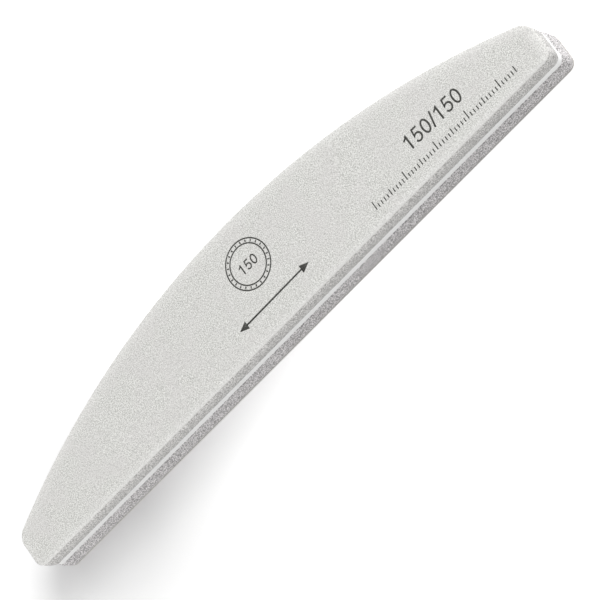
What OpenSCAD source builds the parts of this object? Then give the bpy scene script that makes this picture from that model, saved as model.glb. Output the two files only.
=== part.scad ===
// Half-moon sponge nail buffer block: a bonded laminate of flat layers.
// The stack is the same above and below the core plate:
// grit coat, backing paper, face adhesive, foam pad, core adhesive, core plate.
// X runs along the length, Y from the straight edge to the curved edge, Z up.
// The origin is the centre of the footprint, on the lower grit face.

/* [Outline] */
// Overall length, end to end
block_length = 178; // [150:1:200]
// Overall width, from the straight edge to the top of the curved edge
block_width = 29.2; // [26:0.1:34]
// Width left at each end, where the curved edge meets the end cut
end_width = 10.1; // [9:0.1:12]
// How far each end cut leans outward from the straight edge, in degrees
end_lean = 2.5; // [0:0.5:6]
// Radius of the two corners on the straight edge
straight_corner_r = 2.4; // [1:0.1:3]
// Radius of the two corners on the curved edge
curved_corner_r = 3.8; // [2:0.1:4.5]

/* [Layers] */
// Thickness of the rigid plastic core plate
core_thick = 2; // [1:0.1:3]
// Thickness of each soft foam pad
foam_thick = 5.15; // [3:0.05:8]
// Thickness of each backing paper
paper_thick = 0.25; // [0.15:0.05:0.5]
// Thickness of each coat of abrasive grain and resin
grit_thick = 0.15; // [0.1:0.05:0.4]
// Thickness of each film of adhesive
glue_thick = 0.1; // [0.05:0.05:0.2]

/* [Edges] */
// How far the core plate stands back from the edge of the abrasive sheets
core_inset = 0.4; // [0:0.05:0.8]
// How far the foam pads stand back from the edge of the abrasive sheets
foam_inset = 0.5; // [0:0.05:0.8]
// How far the adhesive films stand back from the edge of the abrasive sheets
glue_inset = 0.7; // [0.1:0.05:0.9]

/* [Hidden] */
$fn = 96;
arc_fn = 720;

paper_colour = "#d8d7d2";
grit_colour = "#d7d8d3";
foam_colour = "#cbc9c8";
core_colour = "#f6f6f4";
glue_colour = "#e9e4d2";

// Lower face of each layer, from the bottom of the stack to the top
paper_z = grit_thick;
face_glue_z = paper_z + paper_thick;
foam_z = face_glue_z + glue_thick;
core_glue_z = foam_z + foam_thick;
core_z = core_glue_z + glue_thick;
block_thick = 2 * core_z + core_thick;

// The curved edge is one arc through the block's full width at the middle
// and through end_width at the two ends
half_length = block_length / 2;
straight_y = -block_width / 2;
arc_rise = block_width - end_width;
arc_r = (half_length * half_length + arc_rise * arc_rise) / (2 * arc_rise);
arc_y = block_width / 2 - arc_r;

// Centre of the right-hand round between the curved edge and the end cut,
// and its direction from the arc's centre
curved_corner = [
    half_length - curved_corner_r,
    arc_y + sqrt(pow(arc_r - curved_corner_r, 2) - pow(half_length - curved_corner_r, 2))
];
arc_out = (curved_corner - [0, arc_y]) / (arc_r - curved_corner_r);

// Outward direction of the right-hand end cut, and its distance from the
// origin, at which it touches that round
end_out = [cos(end_lean), -sin(end_lean)];
end_reach = end_out * curved_corner + curved_corner_r;

// X at which the right-hand end cut, moved in by inset, reaches height y
function end_x(y, inset) = (end_reach - inset - end_out[1] * y) / end_out[0];

// Centre of the right-hand round between the straight edge and the end cut
straight_corner = [
    end_x(straight_y + straight_corner_r, straight_corner_r),
    straight_y + straight_corner_r
];

// The rounds are this much too large, so that they cross the edges they meet
// at a slight angle and don't just touch them
round_excess = 0.006;

// What a round takes off: all that lies beyond its radius, between the two
// directions in which it meets the edges
module round_off(centre, r, start, finish) {
    reach = 2 * r;
    translate(centre) difference() {
        polygon([[0, 0], reach * start, 2 * reach * (start + finish), reach * finish]);
        circle(r = r + round_excess);
    }
}

// Footprint of a layer whose whole edge stands back by inset. The rounds
// shrink about their own centres.
module footprint(inset) {
    low = straight_y + inset;
    high = block_width; // well above the arc, which trims it
    difference() {
        intersection() {
            translate([0, arc_y]) circle(r = arc_r - inset, $fn = arc_fn);
            polygon([
                [-end_x(low, inset), low], [end_x(low, inset), low],
                [end_x(high, inset), high], [-end_x(high, inset), high]
            ]);
        }
        for (side = [0, 1]) mirror([side, 0]) {
            round_off(straight_corner, straight_corner_r - inset, [0, -1], end_out);
            round_off(curved_corner, curved_corner_r - inset, end_out, arc_out);
        }
    }
}

// One flat layer of the laminate
module layer(z, thick, inset) {
    translate([0, 0, z]) linear_extrude(thick) footprint(inset);
}

// The same layer in the upper half of the stack
module upper_layer(z, thick, inset) {
    layer(block_thick - z - thick, thick, inset);
}

module lower_grit_coat() {
    color(grit_colour) layer(0, grit_thick, 0);
}

module lower_backing_paper() {
    color(paper_colour) layer(paper_z, paper_thick, 0);
}

module lower_face_adhesive() {
    color(glue_colour) layer(face_glue_z, glue_thick, glue_inset);
}

module lower_foam_pad() {
    color(foam_colour) layer(foam_z, foam_thick, foam_inset);
}

module lower_core_adhesive() {
    color(glue_colour) layer(core_glue_z, glue_thick, glue_inset);
}

module core_plate() {
    color(core_colour) layer(core_z, core_thick, core_inset);
}

module upper_core_adhesive() {
    color(glue_colour) upper_layer(core_glue_z, glue_thick, glue_inset);
}

module upper_foam_pad() {
    color(foam_colour) upper_layer(foam_z, foam_thick, foam_inset);
}

module upper_face_adhesive() {
    color(glue_colour) upper_layer(face_glue_z, glue_thick, glue_inset);
}

module upper_backing_paper() {
    color(paper_colour) upper_layer(paper_z, paper_thick, 0);
}

module upper_grit_coat() {
    color(grit_colour) upper_layer(0, grit_thick, 0);
}

lower_grit_coat();
lower_backing_paper();
lower_face_adhesive();
lower_foam_pad();
lower_core_adhesive();
core_plate();
upper_core_adhesive();
upper_foam_pad();
upper_face_adhesive();
upper_backing_paper();
upper_grit_coat();
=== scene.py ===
# Half-moon sponge nail buffer: its cut edges, finishes, print, light and camera
import math
import bpy
import bmesh
from mathutils import Matrix, Vector, noise


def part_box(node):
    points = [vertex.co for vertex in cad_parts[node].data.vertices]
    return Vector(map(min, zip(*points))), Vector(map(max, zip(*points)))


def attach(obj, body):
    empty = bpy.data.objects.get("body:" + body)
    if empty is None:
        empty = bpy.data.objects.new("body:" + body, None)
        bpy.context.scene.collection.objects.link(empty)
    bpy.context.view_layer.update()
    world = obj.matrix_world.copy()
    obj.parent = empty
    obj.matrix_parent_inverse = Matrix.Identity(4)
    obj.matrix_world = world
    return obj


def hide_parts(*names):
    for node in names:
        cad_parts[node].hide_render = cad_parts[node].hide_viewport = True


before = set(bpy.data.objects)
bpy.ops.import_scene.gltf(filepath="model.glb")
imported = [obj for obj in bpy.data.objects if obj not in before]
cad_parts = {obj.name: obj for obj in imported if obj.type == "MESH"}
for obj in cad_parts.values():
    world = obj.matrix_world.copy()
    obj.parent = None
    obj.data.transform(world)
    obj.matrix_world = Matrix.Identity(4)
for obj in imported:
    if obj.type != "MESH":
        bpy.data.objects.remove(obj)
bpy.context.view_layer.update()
mm = 0.001

# Where each layer lies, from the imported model
faceLow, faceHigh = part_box("upper_grit_coat")
paperLow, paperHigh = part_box("upper_backing_paper")
foamLow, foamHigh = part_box("upper_foam_pad")
coreLow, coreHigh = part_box("core_plate")
blockLength = faceHigh.x - faceLow.x
blockWidth = faceHigh.y - faceLow.y
blockHeight = faceHigh.z
coreInset = coreLow.y - faceLow.y
print("frame loaded, block is", [round(v / mm, 2) for v in (blockLength, blockWidth, blockHeight)], "mm")


# ---- outline and swept layers ----

blockShape = {
    "endWidth": 10.1 * mm,  # width left at each end
    "endLean": math.radians(2.5),  # lean of each end cut
    "straightCornerR": 2.4 * mm,
    "curvedCornerR": 3.8 * mm,
}


def roundPoints(centre, radius, start, finish, step):
    # points along a round, each with the direction straight out of it
    count = max(6, round(radius * abs(finish - start) / step))
    turns = [start + (finish - start) * i / count for i in range(count + 1)]
    outs = [Vector((math.cos(turn), math.sin(turn))) for turn in turns]
    return [(centre + out * radius, out) for out in outs]


def cutPoints(first, last, out, step):
    # points along a straight cut
    count = max(2, round((last - first).length / step))
    return [(first.lerp(last, i / count), out) for i in range(count + 1)]


def mirrored(points):
    return [(Vector((-p.x, p.y)), Vector((-n.x, n.y))) for p, n in reversed(points)]


def traceBlock(step):
    # The outline seen from above, anticlockwise from the left end of the straight edge, and for
    # each of its points the number of the point of the spine, half way across, that it faces
    halfLength = blockLength / 2
    straightY = faceLow.y
    rise = blockWidth - blockShape["endWidth"]
    arcR = (halfLength ** 2 + rise ** 2) / (2 * rise)
    arcCentre = Vector((0, faceHigh.y - arcR))
    cornerR = blockShape["curvedCornerR"]
    cornerX = halfLength - cornerR
    curvedCorner = Vector((cornerX, arcCentre.y + math.sqrt((arcR - cornerR) ** 2 - cornerX ** 2)))
    arcTurn = math.atan2(curvedCorner.y - arcCentre.y, cornerX)
    lean = blockShape["endLean"]
    endOut = Vector((math.cos(lean), -math.sin(lean)))
    endReach = endOut.dot(curvedCorner) + cornerR
    straightR = blockShape["straightCornerR"]
    straightCornerY = straightY + straightR
    straightCornerX = (endReach - straightR - endOut.y * straightCornerY) / endOut.x
    straightCorner = Vector((straightCornerX, straightCornerY))

    lowRound = roundPoints(straightCorner, straightR, -math.pi / 2, -lean, step / 2)
    endCut = cutPoints(straightCorner + endOut * straightR, curvedCorner + endOut * cornerR, endOut, step)
    highRound = roundPoints(curvedCorner, cornerR, -lean, arcTurn, step / 2)
    rightSide = (lowRound + endCut[1:] + highRound[1:])[1:-1]

    count = round(2 * straightCornerX / step)
    down = Vector((0, -1))
    left, right = Vector((-straightCornerX, straightY)), Vector((straightCornerX, straightY))
    straightEdge = [(left.lerp(right, i / count), down) for i in range(count + 1)]
    turns = [arcTurn + (math.pi - 2 * arcTurn) * i / count for i in range(count + 1)]
    outs = [Vector((math.cos(turn), math.sin(turn))) for turn in turns]
    curvedEdge = [(arcCentre + out * arcR, out) for out in outs]

    outline = straightEdge + rightSide + curvedEdge + mirrored(rightSide)
    spine = [(straightEdge[i][0] + curvedEdge[count - i][0]) / 2 for i in range(count + 1)]
    facing = list(range(count + 1)) + [count] * len(rightSide)
    facing += list(range(count, -1, -1)) + [0] * len(rightSide)
    return outline, spine, facing


edgeSet = {
    "upperCurl": 0.34 * mm,  # how far the cutting die pressed the upper straight edge down
    "lowerCurl": 0.12 * mm,  # and the lower one up
    "otherCurl": 0.50,  # share of that along the curved edge and at the ends
    "reach": 1.0 * mm,  # how far in from the edge that starts
    "endReach": 2.0 * mm,  # and at the ends
    "endShort": 0.45 * mm,  # how much the right end cut stands back at the top
    "rimReach": 2.0 * mm,  # width of the pale rim along the straight edge: partly rubbed grit, partly painted highlight
    "arcRimReach": 3.5 * mm,  # along the curved edge
    "endRimReach": 5.5 * mm,  # and at the right end
    "rimWearAndHighlight": 0.50,
    "rimHighlightTowardsRight": 0.22,  # painted highlight: share added towards the lit right end and taken off towards the left
    "endLess": 0.55,  # share taken off on the right end cut itself
    "edgeHighlightReach": 0.7 * mm,  # width of the painted highlight, the palest line at the very edge of the straight side, which curls down away from the light
    "edgeHighlight": 0.55,
}


def faceDip(place):
    # how far the abrasive face lies below the block's top at a place: a very slight unevenness
    broad = noise.noise(Vector((place.x, place.y, 0)) * 70 + Vector((3, 7, 1)))
    close = noise.noise(Vector((place.x, place.y, 0)) * 210 + Vector((11, 2, 5)))
    return (0.03 + 0.022 * broad + 0.008 * close) * mm


def pressEdge(co, inset, out):
    # moves a point as the cutting die does: the edge goes towards the core, less and less inwards
    s = edgeSet
    middle = blockHeight / 2
    coreHalf = (coreHigh.z - coreLow.z) / 2
    above = co.z - middle
    share = max(0.0, (abs(above) - coreHalf) / (middle - coreHalf))
    reach = s["reach"] + (s["endReach"] - s["reach"]) * out.x ** 2
    curl = s["upperCurl"] if above > 0 else s["lowerCurl"]
    curl *= s["otherCurl"] + (1 - s["otherCurl"]) * max(0.0, -out.y) ** 2
    curl *= min(1.0, max(0.0, 1 - inset / reach)) ** 2
    co.z -= math.copysign(share * curl, above)


def rimWearAndHighlight(distance, point, out):
    # how pale the rim is painted, from 0 to 1, at a distance from the edge: partly rubbed-down grain, partly
    # painted highlight
    s = edgeSet
    toRight = max(0.0, out.x) ** 2
    reach = s["rimReach"] + (s["arcRimReach"] - s["rimReach"]) * (out.y + 1) / 2
    reach += (s["endRimReach"] - reach) * toRight
    wear = s["rimWearAndHighlight"] * max(0.0, 1 - distance / reach) ** 1.4
    wear *= 1 + s["rimHighlightTowardsRight"] * point.x / (blockLength / 2) - s["endLess"] * toRight
    # painted highlight: a pale line along the very edge of the straight side, where the curl faces away from the
    # light
    return wear + s["edgeHighlight"] * max(0.0, 1 - distance / s["edgeHighlightReach"]) * max(0.0, -out.y) ** 2


def sweepLayer(name, step, profile, caps=("flat", "flat"), shift=None):
    # A closed solid: a profile of (distance in from the edge, height) pairs, from the middle of
    # the underside round the edge to the middle of the top, taken round the block's outline.
    outline, spine, facing = traceBlock(step)
    mesh = bmesh.new()
    rim = mesh.verts.layers.float.new("rim")

    def markRim(ring):
        for vert, (point, out) in zip(ring, outline):
            vert[rim] = min(1.0, rimWearAndHighlight((vert.co.xy - point).length, point, out))

    def addRing(inset, height):
        ring = [mesh.verts.new((p.x - n.x * inset, p.y - n.y * inset, height)) for p, n in outline]
        for vert, (point, out) in zip(ring, outline):
            pressEdge(vert.co, inset, out)
        markRim(ring)
        return ring

    def join(ringA, ringB):
        for i in range(len(ringA)):
            j = (i + 1) % len(ringA)
            mesh.faces.new((ringA[i], ringA[j], ringB[j], ringB[i]))

    def closeCap(ring, style, upward):
        if style == "flat":
            mesh.faces.new(ring if upward else list(reversed(ring)))
            return
        middle = [mesh.verts.new((p.x, p.y, ring[0].co.z)) for p in spine]
        bands = 14
        last = ring
        for band in range(1, bands):
            share = (band / bands) ** 1.3
            inner = [mesh.verts.new(v.co.lerp(middle[at].co, share)) for v, at in zip(ring, facing)]
            markRim(inner)
            if upward:
                join(last, inner)
            else:
                join(inner, last)
            last = inner
        for i in range(len(last)):
            j = (i + 1) % len(last)
            corners = [last[i], last[j], middle[facing[j]], middle[facing[i]]]
            if facing[i] == facing[j]:
                corners.pop()
            mesh.faces.new(corners if upward else list(reversed(corners)))

    rings = [addRing(inset, height) for inset, height in profile]
    for lower, upper in zip(rings, rings[1:]):
        join(lower, upper)
    closeCap(rings[0], caps[0], False)
    closeCap(rings[-1], caps[1], True)
    if shift:
        shift(mesh, rings, outline)
    for vert in mesh.verts:
        if vert.co.x > 0:
            vert.co.x *= 1 - edgeSet["endShort"] / (blockLength / 2) * vert.co.z / blockHeight
    return finishMesh(name, mesh, 38)


def finishMesh(name, mesh, sharpDegrees):
    data = bpy.data.meshes.new(name)
    mesh.normal_update()
    mesh.to_mesh(data)
    mesh.free()
    data.polygons.foreach_set("use_smooth", [True] * len(data.polygons))
    data.set_sharp_from_angle(angle=math.radians(sharpDegrees))
    piece = bpy.data.objects.new(name, data)
    bpy.context.scene.collection.objects.link(piece)
    return piece


def turnedOver(profile):
    # the same profile in the lower half of the stack
    return [(inset, blockHeight - height) for inset, height in reversed(profile)]


def fit(piece, material, slot, *nodes):
    piece.data.materials.clear()
    piece.data.materials.append(material)
    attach(piece, "root")
    if nodes:
        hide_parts(*nodes)
    return piece


# ---- shader helpers ----

class Wire:
    # one output of a node; arithmetic on it adds Math nodes
    def __init__(self, maker, socket):
        self.maker = maker
        self.socket = socket

    def maths(self, operation, first, second):
        return self.maker.add("ShaderNodeMath", {"operation": operation}, {0: first, 1: second})

    def __add__(self, other):
        return self.maths("ADD", self, other)

    def __radd__(self, other):
        return self.maths("ADD", other, self)

    def __sub__(self, other):
        return self.maths("SUBTRACT", self, other)

    def __rsub__(self, other):
        return self.maths("SUBTRACT", other, self)

    def __mul__(self, other):
        return self.maths("MULTIPLY", self, other)

    def __rmul__(self, other):
        return self.maths("MULTIPLY", other, self)

    def __pow__(self, other):
        return self.maths("POWER", self, other)

    def size(self):
        return self.maths("ABSOLUTE", self, 0.0)

    def clamped(self, low=0.0, high=1.0):
        return self.maker.add("ShaderNodeClamp", {}, {"Value": self, "Min": low, "Max": high}, "Result")


class NodeMaker:
    # adds nodes to one tree; every node comes through add
    def __init__(self, tree):
        self.tree = tree
        self.tree.nodes.clear()

    def add(self, kind, settings=None, inputs=None, output=0):
        node = self.tree.nodes.new(kind)
        for key, value in (settings or {}).items():
            if key == "stops":
                self.setStops(node.color_ramp.elements, value)
            else:
                setattr(node, key, value)
        for key, value in (inputs or {}).items():
            if isinstance(value, Wire):
                self.tree.links.new(value.socket, node.inputs[key])
            else:
                node.inputs[key].default_value = value
        return Wire(self, node.outputs[output]) if len(node.outputs) else node

    def setStops(self, elements, stops):
        while len(elements) < len(stops):
            elements.new(0.5)
        for element, (position, value) in zip(elements, stops):
            element.position = position
            element.color = (value, value, value, 1)

    def place(self):
        return self.add("ShaderNodeTexCoord", output="Object")

    def stretched(self, scale):
        return self.add("ShaderNodeMapping", {}, {"Vector": self.place(), "Scale": scale})

    def grain(self, size, detail=2.0, roughness=0.5, at=None, shift=0.0):
        # noise whose marks are about this size
        inputs = {"Vector": at or self.place(), "W": shift, "Scale": 1 / size, "Detail": detail}
        inputs["Roughness"] = roughness
        return self.add("ShaderNodeTexNoise", {"noise_dimensions": "4D"}, inputs, "Fac")

    def cells(self, size, randomness=1.0):
        # distance from the middle of the nearest of many cells of about this size
        inputs = {"Vector": self.place(), "Scale": 1 / size, "Randomness": randomness}
        return self.add("ShaderNodeTexVoronoi", {"feature": "F1"}, inputs, "Distance")

    def painted(self, name):
        return self.add("ShaderNodeAttribute", {"attribute_name": name}, output="Fac")

    def ramp(self, value, *stops):
        return self.add("ShaderNodeValToRGB", {"stops": stops}, {"Fac": value}, "Color")

    def blend(self, share, colourA, colourB, how="MIX"):
        settings = {"data_type": "RGBA", "blend_type": how}
        inputs = {0: share, 6: asColour(colourA), 7: asColour(colourB)}
        return self.add("ShaderNodeMix", settings, inputs, 2)

    def bump(self, height, depth, under=None):
        # depth is how far the surface moves where height goes from 0 to 1
        inputs = {"Height": height, "Distance": depth, "Strength": 1.0}
        if under:
            inputs["Normal"] = under
        return self.add("ShaderNodeBump", {}, inputs, "Normal")

    def surface(self, inputs):
        shader = self.add("ShaderNodeBsdfPrincipled", {}, inputs, "BSDF")
        self.add("ShaderNodeOutputMaterial", {}, {"Surface": shader})


def asColour(value):
    return value if isinstance(value, Wire) else (*value, 1.0)


def newMaterial(name):
    material = bpy.data.materials.new(name)
    material.use_nodes = True
    return material, NodeMaker(material.node_tree)


# ---- abrasive sheets ----

sheetSet = {
    "step": 0.5 * mm,
    "edgeRound": 0.04 * mm,
    "gritDark": (0.50, 0.50, 0.475),
    "gritLight": (0.93, 0.93, 0.90),
    "gritSpeck": (0.30, 0.30, 0.285),
    "rimDark": (0.83, 0.822, 0.80),
    "rimLight": (1.0, 0.992, 0.97),
    "pinkCast": (0.73, 0.705, 0.70),
    "grainSize": 0.25 * mm,
    "paperTone": (0.76, 0.75, 0.72),
    "paperDark": (0.60, 0.59, 0.56),
}


def sheetProfile(top, thickness, edgeInset):
    # a thin flat sheet with softened corners
    soft = sheetSet["edgeRound"]
    insets = [soft, 0.12 * mm, 0.25 * mm, 0.4 * mm, 0.6 * mm, 0.85 * mm, 1.2 * mm, 1.6 * mm, 2 * mm]
    under = [(edgeInset + d, top - thickness) for d in reversed(insets)]
    cut = [(edgeInset, top - thickness + soft), (edgeInset, top - soft)]
    over = [(edgeInset + d, top) for d in insets]
    return under + cut + over


def dipFace(side):
    # side is 1 for the upper face and -1 for the lower
    def shift(mesh, rings, outline):
        mesh.verts.ensure_lookup_table()
        level = blockHeight if side > 0 else 0
        for vert in mesh.verts:
            if abs(vert.co.z - level) < 0.05 * mm:
                vert.co.z -= side * faceDip(vert.co)
    return shift


def makeGritFinish():
    material, make = newMaterial("gritFinish")
    s = sheetSet
    grains = make.grain(s["grainSize"], 2.0, 0.55)
    clumps = make.grain(0.30 * mm, 2.0, 0.5, shift=7.0)
    cloud = make.grain(6 * mm, 3.0, 0.55, shift=2.0)
    rim = make.painted("rim")
    light = make.ramp(grains, (0.40, 0.0), (0.60, 1.0))
    tone = make.blend(light, s["gritDark"], s["gritLight"])
    cast = make.ramp(cloud, (0.42, 0.0), (0.62, 1.0))
    tone = make.blend(0.35 * cast, tone, s["pinkCast"])
    specks = make.ramp(clumps, (0.30, 1.0), (0.40, 0.0))
    tone = make.blend(0.6 * specks, tone, s["gritSpeck"])
    # the pale rim: partly rubbed grit, partly painted highlight
    tone = make.blend(rim, tone, make.blend(light, s["rimDark"], s["rimLight"]))
    rough = (0.78 + 0.2 * grains).clamped()
    fine = make.bump(grains, 0.05 * mm)
    make.surface({
        "Base Color": tone,
        "Roughness": rough,
        "Specular IOR Level": 0.35,
        "Normal": make.bump(clumps, 0.05 * mm, fine),
    })
    return material


def makePaperFinish():
    material, make = newMaterial("paperFinish")
    s = sheetSet
    fibres = make.grain(0.12 * mm, 3.0, 0.6, at=make.stretched((0.35, 0.35, 1.6)))
    plies = make.grain(0.09 * mm, 2.0, 0.5, at=make.stretched((0.05, 0.05, 1.0)), shift=4.0)
    light = make.ramp(fibres * 0.6 + plies * 0.4, (0.35, 0.0), (0.62, 1.0))
    make.surface({
        "Base Color": make.blend(light, s["paperDark"], s["paperTone"]),
        "Roughness": (0.8 + 0.15 * fibres).clamped(),
        "Specular IOR Level": 0.3,
        "Normal": make.bump(fibres, 0.03 * mm),
    })
    return material


gritFinish = makeGritFinish()
paperFinish = makePaperFinish()
gritThickness = faceHigh.z - faceLow.z
paperThickness = paperHigh.z - paperLow.z
gritProfile = sheetProfile(blockHeight, gritThickness, 0.0)
paperProfile = sheetProfile(paperHigh.z, paperThickness, 0.03 * mm)
upperGrit = sweepLayer("upper_grit_sheet", sheetSet["step"], gritProfile, ("flat", "spine"), shift=dipFace(1))
lowerGrit = sweepLayer("lower_grit_sheet", sheetSet["step"], turnedOver(gritProfile), ("spine", "flat"),
                       shift=dipFace(-1))
upperPaper = sweepLayer("upper_paper_sheet", sheetSet["step"], paperProfile)
lowerPaper = sweepLayer("lower_paper_sheet", sheetSet["step"], turnedOver(paperProfile))
fit(upperGrit, gritFinish, "grit", "upper_grit_coat")
fit(lowerGrit, gritFinish, "grit", "lower_grit_coat")
fit(upperPaper, paperFinish, "paper", "upper_backing_paper")
fit(lowerPaper, paperFinish, "paper", "lower_backing_paper")
print("abrasive sheets made")


# ---- foam pads ----

foamSet = {
    "step": 0.3 * mm,
    "rows": 17,
    "bulge": 0.08 * mm,  # how far the wall swells past the block's outline
    "bulgeAt": 0.55,  # where it does, from 0 beside the core to 1 under the sheet
    "sheetInset": 0.10 * mm,
    "coreInset": 0.20 * mm,
    "pinchReach": 0.4 * mm,
}
# pinch is how much further in a pad stands right beside the core; its colours are multiplied by a painted shade,
# darker right beside the core and lighter under the sheet; the lower pad's two shade colours also carry its slight
# purple tint
upperPadSet = {
    "pinch": 0.02 * mm,
    "poreSize": 0.32 * mm,
    "contrast": 2.3,
    "holes": 0.65,
    "depth": 0.07 * mm,
    "dark": (0.46, 0.452, 0.44),
    "light": (0.99, 0.976, 0.955),
    "pore": (0.26, 0.255, 0.25),
    "paintedShadeAndTintAtCore": (0.785, 0.785, 0.785),
    "paintedShadeAndTintAtSheet": (0.98, 0.98, 0.98),
}
lowerPadSet = {
    "pinch": 0.32 * mm,
    "poreSize": 0.33 * mm,
    "contrast": 3.0,
    "holes": 0.70,
    "depth": 0.12 * mm,
    "dark": (0.38, 0.374, 0.365),
    "light": (1.0, 0.985, 0.965),
    "pore": (0.20, 0.197, 0.192),
    "paintedShadeAndTintAtCore": (0.905, 0.892, 0.916),
    "paintedShadeAndTintAtSheet": (0.97, 0.957, 0.98),
}


def foamProfile(pinch):
    s = foamSet
    top, bottom = foamHigh.z, foamLow.z
    lids = [(d, top) for d in (0.3 * mm, 0.6 * mm, 1.0 * mm, 1.5 * mm, 2 * mm)]
    wall = []
    for row in range(s["rows"] + 1):
        share = row / s["rows"]  # 0 beside the core, 1 under the sheet
        height = bottom + (top - bottom) * share
        if share > s["bulgeAt"]:
            away, end = (share - s["bulgeAt"]) / (1 - s["bulgeAt"]), s["sheetInset"]
        else:
            away, end = 1 - share / s["bulgeAt"], s["coreInset"]
        closeness = max(0.0, 1 - (height - bottom) / s["pinchReach"])
        wall.append((-s["bulge"] + (end + s["bulge"]) * away ** 2 + pinch * closeness ** 2, height))
    base = [(2 * mm, bottom), (1.2 * mm, bottom)]
    return base + wall + lids


def roughenWall(seed):
    # small lumps and open cells of the cut foam
    def shift(mesh, rings, outline):
        away = Vector((seed * 13.7, seed * 5.1, seed * 9.3))
        for ring in rings:
            for vert, (point, out) in zip(ring, outline):
                inset = (point - vert.co.xy).length
                if inset > 0.75 * mm:
                    continue
                lump = noise.noise(vert.co * 420 + away)
                cell = noise.noise(vert.co * 2300 + away)
                hollow = max(0.0, noise.noise(vert.co * 1500 - away) - 0.25)
                push = (0.035 * lump + 0.030 * cell - 0.11 * hollow) * mm
                vert.co.x += out.x * push
                vert.co.y += out.y * push
    return shift


def makeFoamFinish(name, pad):
    material, make = newMaterial(name)
    spread = 0.2 / pad["contrast"]
    froth = make.grain(pad["poreSize"], 2.0, 0.6)
    pores = make.grain(pad["poreSize"] * 1.3, 2.0, 0.5, shift=6.0)
    light = make.ramp(froth, (0.5 - spread, 0.0), (0.5 + spread, 1.0))
    tone = make.blend(light, pad["dark"], pad["light"])
    holes = make.ramp(pores, (0.34, 1.0), (0.43, 0.0))
    tone = make.blend(pad["holes"] * holes, tone, pad["pore"])
    # painted shade: the tone is multiplied darker beside the core, under its lip, and lighter towards the sheet
    height = make.add("ShaderNodeSeparateXYZ", {}, {"Vector": make.place()}, "Z")
    away = (height - blockHeight / 2).size() - (foamLow.z - blockHeight / 2)
    towardSheet = (away * (1 / (foamHigh.z - foamLow.z))).clamped() ** 1.5
    tone = make.blend(1.0, tone, make.blend(towardSheet, pad["paintedShadeAndTintAtCore"], pad["paintedShadeAndTintAtSheet"]), "MULTIPLY")
    fine = make.bump(froth, pad["depth"])
    make.surface({
        "Base Color": tone,
        "Roughness": (0.82 + 0.15 * froth).clamped(),
        "Specular IOR Level": 0.25,
        "Normal": make.bump(pores, pad["depth"], fine),
    })
    return material


upperFoamFinish = makeFoamFinish("upperFoamFinish", upperPadSet)
lowerFoamFinish = makeFoamFinish("lowerFoamFinish", lowerPadSet)
upperWall = foamProfile(upperPadSet["pinch"])
lowerWall = turnedOver(foamProfile(lowerPadSet["pinch"]))
upperFoam = sweepLayer("upper_sponge_pad", foamSet["step"], upperWall, shift=roughenWall(1))
lowerFoam = sweepLayer("lower_sponge_pad", foamSet["step"], lowerWall, shift=roughenWall(2))
fit(upperFoam, upperFoamFinish, "foam", "upper_foam_pad")
fit(lowerFoam, lowerFoamFinish, "foam", "lower_foam_pad")
print("foam pads made")


# ---- core plate and adhesive films ----

coreSet = {
    "step": 0.5 * mm,
    "upperLip": 0.08 * mm,  # how far the cut edge stands out at its top
    "upperReach": 1.1 * mm,
    "lowerLip": 0.11 * mm,  # and at its bottom, where the die left it
    "lowerReach": 0.6 * mm,
    "burr": 0.05 * mm,  # how far the lower lip hangs down
    "soft": 0.08 * mm,
    "endInset": 0.14 * mm,  # how much further in the plate stands at the right end
    "tone": (0.94, 0.94, 0.935),
    "dull": (0.80, 0.80, 0.79),
}


def coreProfile():
    s = coreSet
    low, high = coreLow.z, coreHigh.z
    tip = coreInset - s["lowerLip"]
    brow = coreInset - s["upperLip"]
    under = [(2 * mm, low), (0.6 * mm, low), (tip + 0.10 * mm, low - 0.7 * s["burr"])]
    under += [(tip + 0.04 * mm, low - s["burr"]), (tip, low - 0.7 * s["burr"])]
    wall = []
    for i in range(13):
        height = (high - low - s["soft"]) * i / 12
        lowShare = max(0.0, 1 - height / s["lowerReach"])
        highShare = max(0.0, 1 - (high - low - s["soft"] - height) / s["upperReach"])
        lip = s["lowerLip"] * lowShare ** 1.5 + s["upperLip"] * highShare ** 2
        wall.append((coreInset - lip, low + height))
    turns = [math.radians(a) for a in (30, 60, 90)]
    over = [(brow + s["soft"] * (1 - math.cos(a)), high - s["soft"] * (1 - math.sin(a))) for a in turns]
    return under + wall + over + [(1 * mm, high), (2 * mm, high)]


def standBack(mesh, rings, outline):
    for ring in rings:
        for vert, (point, out) in zip(ring, outline):
            vert.co.x -= coreSet["endInset"] * max(0.0, out.x) ** 2


def makeCoreFinish():
    material, make = newMaterial("coreFinish")
    s = coreSet
    shear = make.grain(0.22 * mm, 2.0, 0.5, at=make.stretched((1, 1, 0.12)))
    smudge = make.grain(4 * mm, 3.0, 0.6, shift=3.0)
    dulled = make.ramp(smudge, (0.45, 0.0), (0.75, 1.0))
    tone = make.blend(0.35 * dulled + 0.15 * shear, s["tone"], s["dull"])
    make.surface({
        "Base Color": tone,
        "Roughness": (0.32 + 0.25 * shear).clamped(),
        "Specular IOR Level": 0.5,
        "Normal": make.bump(shear, 0.03 * mm),
    })
    return material


def makeAdhesiveFinish():
    material, make = newMaterial("adhesiveFinish")
    ripple = make.grain(0.8 * mm, 2.0, 0.5)
    bubbles = make.cells(0.5 * mm)
    tone = make.blend(ripple, (0.70, 0.67, 0.54), (0.86, 0.84, 0.74))
    make.surface({
        "Base Color": tone,
        "Roughness": (0.2 + 0.3 * ripple).clamped(),
        "Normal": make.bump(bubbles, 0.02 * mm),
    })
    return material


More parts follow.
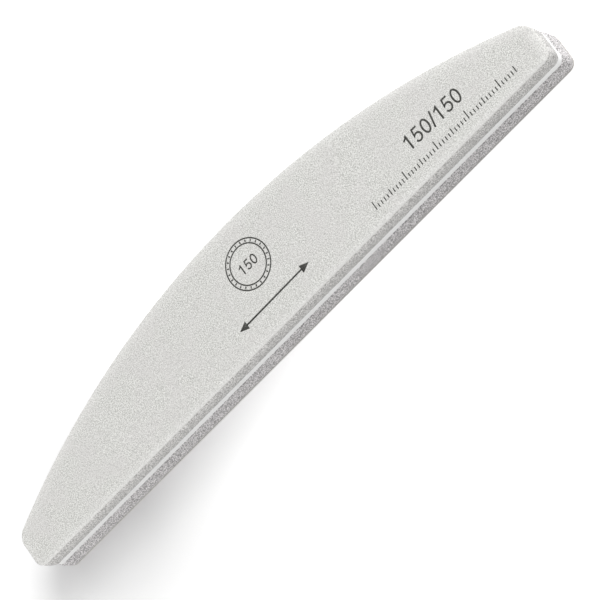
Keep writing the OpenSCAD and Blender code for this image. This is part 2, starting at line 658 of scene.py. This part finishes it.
corePlate = sweepLayer("white_core_board", coreSet["step"], coreProfile(), shift=standBack)
fit(corePlate, makeCoreFinish(), "core_plastic", "core_plate")
adhesiveFinish = makeAdhesiveFinish()
for level in ("upper", "lower"):
    for place in ("face", "core"):
        node = f"{level}_{place}_adhesive"
        low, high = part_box(node)
        inset = low.y - faceLow.y
        profile = [(2 * mm, low.z), (1.2 * mm, low.z), (inset, low.z), (inset, high.z), (1.2 * mm, high.z)]
        film = sweepLayer(f"{level}_{place}_glue_film", 1 * mm, profile + [(2 * mm, high.z)])
        fit(film, adhesiveFinish, "adhesive", node)
print("core plate and adhesive made")


# ---- print ----

printSet = {
    "lift": 0.012 * mm,  # how far the ink stands on the face
    "thickness": 0.04 * mm,
    "stroke": 0.45 * mm,
    "tone": (0.055, 0.055, 0.050),
    "broken": (0.22, 0.22, 0.21),
    "grit": {"text": "150/150", "start": (49.6, -6.7), "end": (66.9, -6.85), "height": 3.9, "stroke": 0.47},
    "dial": {"centre": (1.8, 2.86), "outer": 6.2, "inner": 5.0, "ticks": 24, "text": "150", "height": 2.7,
             "stroke": 0.36},
    "arrow": {"start": (-9.9, -8.1), "end": (14.2, -7.9), "head": 2.6},
    "rule": {"start": (35.0, -11.0), "end": (80.0, -11.5), "short": 1.1, "middle": 1.7, "long": 2.4},
}


# Figures drawn with strokes in a box one high: their points, whether those are an outline to
# fill, an open stroke or a closed one, and how far along the next figure starts
bowl = [(0.31 + 0.25 * math.cos(math.radians(a)), 0.33 + 0.27 * math.sin(math.radians(a)))
        for a in range(125, -160, -20)]
hoop = [(0.31 + 0.24 * math.cos(math.radians(a)), 0.5 + 0.44 * math.sin(math.radians(a)))
        for a in range(0, 360, 15)]
figureShapes = {
    "1": ([(0.44, 1.0), (0.35, 1.0), (0.26, 0.88), (0.09, 0.79), (0.09, 0.67), (0.31, 0.77), (0.31, 0.0),
           (0.44, 0.0)], "fill", 0.74),
    "5": ([(0.56, 0.94), (0.18, 0.94), (0.11, 0.50)] + bowl, "open", 0.74),
    "0": (hoop, "closed", 0.74),
    "/": ([(0.02, -0.02), (0.27, 1.02)], "open", 0.37),
}


def ribbon(mesh, points, width, closed=False):
    # a flat stroke along points, as wide round its corners as elsewhere
    count = len(points)
    lefts, rights = [], []
    for i, point in enumerate(points):
        before = points[i - 1] if closed or i > 0 else None
        after = points[(i + 1) % count] if closed or i < count - 1 else None
        ways = [(b - a).normalized() for a, b in ((before, point), (point, after)) if a and b]
        along = sum(ways, Vector((0, 0))).normalized()
        side = Vector((-along.y, along.x)) * width / 2 / max(0.5, along.dot(ways[0]))
        lefts.append(mesh.verts.new((*(point + side), 0)))
        rights.append(mesh.verts.new((*(point - side), 0)))
    for i in range(count if closed else count - 1):
        j = (i + 1) % count
        mesh.faces.new((rights[i], rights[j], lefts[j], lefts[i]))


def addFigures(mesh, text, centre, height, stroke, turn=0.0, width=None):
    # figures in a row, centred; width stretches them to a length
    spin = Matrix.Rotation(turn, 2)
    starts = [sum(figureShapes[mark][2] for mark in text[:i]) for i in range(len(text) + 1)]
    low, high = 0.09, starts[-1] - 0.13
    wide = width / (high - low) if width else height
    for mark, start in zip(text, starts):
        points, style, _ = figureShapes[mark]
        local = [Vector(((start + x - (low + high) / 2) * wide, (y - 0.5) * height)) for x, y in points]
        placed = [centre + spin @ at for at in local]
        if style == "fill":
            mesh.faces.new([mesh.verts.new((*at, 0)) for at in placed])
        else:
            ribbon(mesh, placed, stroke, closed=style == "closed")


def layInk(name, mesh, material):
    # sets the strokes on the abrasive face and gives them their thickness
    bmesh.ops.remove_doubles(mesh, verts=mesh.verts, dist=0.001 * mm)
    for vert in mesh.verts:
        vert.co.z = blockHeight - faceDip(vert.co) + printSet["lift"]
    mesh.normal_update()
    for face in mesh.faces:
        if face.normal.z < 0:
            face.normal_flip()
    piece = finishMesh(name, mesh, 30)
    body = piece.modifiers.new("inkBody", "SOLIDIFY")
    body.thickness = printSet["thickness"]
    body.offset = -1
    return fit(piece, material, "ink")


def makeInkFinish():
    material, make = newMaterial("inkFinish")
    s = printSet
    grains = make.grain(sheetSet["grainSize"], 3.0, 0.62)
    missed = make.ramp(grains, (0.50, 0.0), (0.68, 1.0))
    make.surface({
        "Base Color": make.blend(0.8 * missed, s["tone"], s["broken"]),
        "Roughness": (0.7 + 0.25 * grains).clamped(),
        "Specular IOR Level": 0.2,
        "Normal": make.bump(grains, 0.06 * mm),
    })
    return material


def millimetres(pair):
    return Vector(pair) * mm


def gritMark(material):
    s = printSet["grit"]
    start, end = millimetres(s["start"]), millimetres(s["end"])
    along = (end - start).normalized()
    up = Vector((-along.y, along.x))
    centre = (start + end) / 2 + up * s["height"] * mm / 2
    mesh = bmesh.new()
    turn = math.atan2(along.y, along.x)
    addFigures(mesh, s["text"], centre, s["height"] * mm, s["stroke"] * mm, turn, (end - start).length)
    return layInk("grit_number_print", mesh, material)


def dialMark(material):
    s = printSet["dial"]
    centre = millimetres(s["centre"])
    mesh = bmesh.new()
    for radius in (s["outer"], s["inner"]):
        turns = [math.tau * i / 72 for i in range(72)]
        ring = [centre + Vector((math.cos(t), math.sin(t))) * radius * mm for t in turns]
        ribbon(mesh, ring, printSet["stroke"] * 0.75, closed=True)
    layRing = layInk("dial_ring_print", mesh, material)
    mesh = bmesh.new()
    for i in range(s["ticks"]):
        out = Vector((math.cos(math.tau * i / s["ticks"]), math.sin(math.tau * i / s["ticks"])))
        ribbon(mesh, [centre + out * (s["inner"] + 0.3) * mm, centre + out * (s["outer"] - 0.3) * mm],
               printSet["stroke"] * 0.7)
    layTicks = layInk("dial_tick_print", mesh, material)
    mesh = bmesh.new()
    addFigures(mesh, s["text"], centre, s["height"] * mm, s["stroke"] * mm)
    layNumber = layInk("dial_number_print", mesh, material)
    return layRing, layTicks, layNumber


def arrowMark(material):
    # a plain two-way arrow, the filing direction
    s = printSet["arrow"]
    start, end = millimetres(s["start"]), millimetres(s["end"])
    along = (end - start).normalized()
    side = Vector((-along.y, along.x))
    head = s["head"] * mm
    mesh = bmesh.new()
    ribbon(mesh, [start + along * head * 0.9, end - along * head * 0.9], printSet["stroke"])
    for tip, back in ((start, along), (end, -along)):
        corners = [tip, tip + back * head + side * head * 0.42, tip + back * head - side * head * 0.42]
        mesh.faces.new([mesh.verts.new((*corner, 0)) for corner in corners])
    return layInk("arrow_print", mesh, material)


def ruleMark(material):
    # plain marks a millimetre apart
    s = printSet["rule"]
    start, end = millimetres(s["start"]), millimetres(s["end"])
    along = (end - start).normalized()
    up = Vector((-along.y, along.x))
    mesh = bmesh.new()
    for i in range(round((end - start).length / mm) + 1):
        size = s["long"] if i % 10 == 0 else s["middle"] if i % 5 == 0 else s["short"]
        foot = start + along * i * mm
        ribbon(mesh, [foot, foot + up * size * mm], printSet["stroke"] * 0.6)
    return layInk("rule_print", mesh, material)


inkFinish = makeInkFinish()
gritMark(inkFinish)
dialMark(inkFinish)
arrowMark(inkFinish)
ruleMark(inkFinish)
print("print made")


# ---- floor, light and camera ----

stageSet = {
    "floorSize": 6.0,
    "floorTone": 0.88,
    "seenTone": 1.0,  # the floor's tone where the camera sees it
    "farGlow": 0.60,  # painted glow added there for the camera, away from the shadow's middle; it washes out the object's real shadow further off
    "shadowAt": (-74 * mm, -17 * mm, 0),
    "glowFrom": 12 * mm,
    "glowTo": 85 * mm,
    "worldLight": 0.505,
    "worldSeen": 1.0,
}
keyLamp = {
    "watts": 19.1,
    "size": 1.3,
    "at": Vector((1.02, 0.70, 0.84)),  # high beyond the right end, on the curved side
}
endLamp = {
    "watts": 0.13,
    "size": 0.2,
    "at": Vector((0.55, 0.05, 0.10)),  # low beyond the right end
}
fillLamp = {
    "watts": 0.20,
    "size": 0.15,
    "at": Vector((-0.20, -0.25, 0.12)),  # low in front of the left end
}

cameraSet = {
    "aim": Vector((4.33, -9.98, 6.75)) * mm,
    "distance": 574.56 * mm,
    "azimuth": math.radians(39.0),
    "elevation": math.radians(58.504),
    "roll": math.radians(79.86),
    "lens": 148.19,
}


def seenRay(make):
    rays = make.add("ShaderNodeLightPath").maker.tree.nodes[-1]
    seen = [Wire(make, rays.outputs[kind]) for kind in ("Is Camera Ray", "Is Glossy Ray", "Is Transmission Ray")]
    return (seen[0] + seen[1] + seen[2]).clamped()


def makeFloor():
    s = stageSet
    material, make = newMaterial("floorFinish")
    away = make.add("ShaderNodeVectorMath", {"operation": "DISTANCE"}, {0: make.place(), 1: s["shadowAt"]}, "Value")
    share = ((away - s["glowFrom"]) * (1 / (s["glowTo"] - s["glowFrom"]))).clamped()
    seen = seenRay(make)
    # painted glow: the floor glows for the camera, more with distance from the shadow's middle
    lift = seen * share * s["farGlow"]
    make.surface({
        "Base Color": make.blend(seen, [s["floorTone"]] * 3, [s["seenTone"]] * 3),
        "Roughness": 0.95,
        "Specular IOR Level": 0.0,
        "Emission Color": make.blend(lift, (0, 0, 0), (1, 1, 1)),
        "Emission Strength": 1.0,
    })
    mesh = bmesh.new()
    bmesh.ops.create_grid(mesh, x_segments=8, y_segments=8, size=s["floorSize"] / 2)
    floor = finishMesh("studio_floor", mesh, 30)
    floor.location.z = -0.02 * mm
    floor.data.materials.append(material)


def makeWorld():
    s = stageSet
    world = bpy.data.worlds.new("studioWorld")
    world.use_nodes = True
    bpy.context.scene.world = world
    make = NodeMaker(world.node_tree)
    strength = s["worldLight"] + seenRay(make) * (s["worldSeen"] - s["worldLight"])
    light = make.add("ShaderNodeBackground", {}, {"Color": (1, 1, 1, 1), "Strength": strength})
    make.add("ShaderNodeOutputWorld", {}, {"Surface": light})


def makeLamp(name, s):
    lamp = bpy.data.lights.new(name, "AREA")
    lamp.shape = "SQUARE"
    lamp.size = s["size"]
    lamp.energy = s["watts"]
    holder = bpy.data.objects.new(name, lamp)
    holder.location = s["at"]
    holder.rotation_euler = s["at"].to_track_quat("Z", "Y").to_euler()
    holder.visible_camera = False
    bpy.context.scene.collection.objects.link(holder)


def makeCamera():
    s = cameraSet
    across = math.cos(s["elevation"])
    back = Vector((math.sin(s["azimuth"]) * across, -math.cos(s["azimuth"]) * across, math.sin(s["elevation"])))
    right = (-back).cross(Vector((0, 0, 1))).normalized()
    level = right.cross(-back)
    up = math.cos(s["roll"]) * level + math.sin(s["roll"]) * right
    side = up.cross(back)
    data = bpy.data.cameras.new("camera")
    data.lens = s["lens"]
    data.sensor_width = 36
    data.clip_start = 0.01
    camera = bpy.data.objects.new("camera", data)
    turned = Matrix((side, up, back)).transposed().to_4x4()
    camera.matrix_world = Matrix.Translation(s["aim"] + back * s["distance"]) @ turned
    bpy.context.scene.collection.objects.link(camera)
    bpy.context.scene.camera = camera


makeFloor()
makeWorld()
makeLamp("keyLamp", keyLamp)
makeLamp("endLamp", endLamp)
makeLamp("fillLamp", fillLamp)
makeCamera()
bpy.context.scene.view_settings.view_transform = "Standard"
print("stage made")
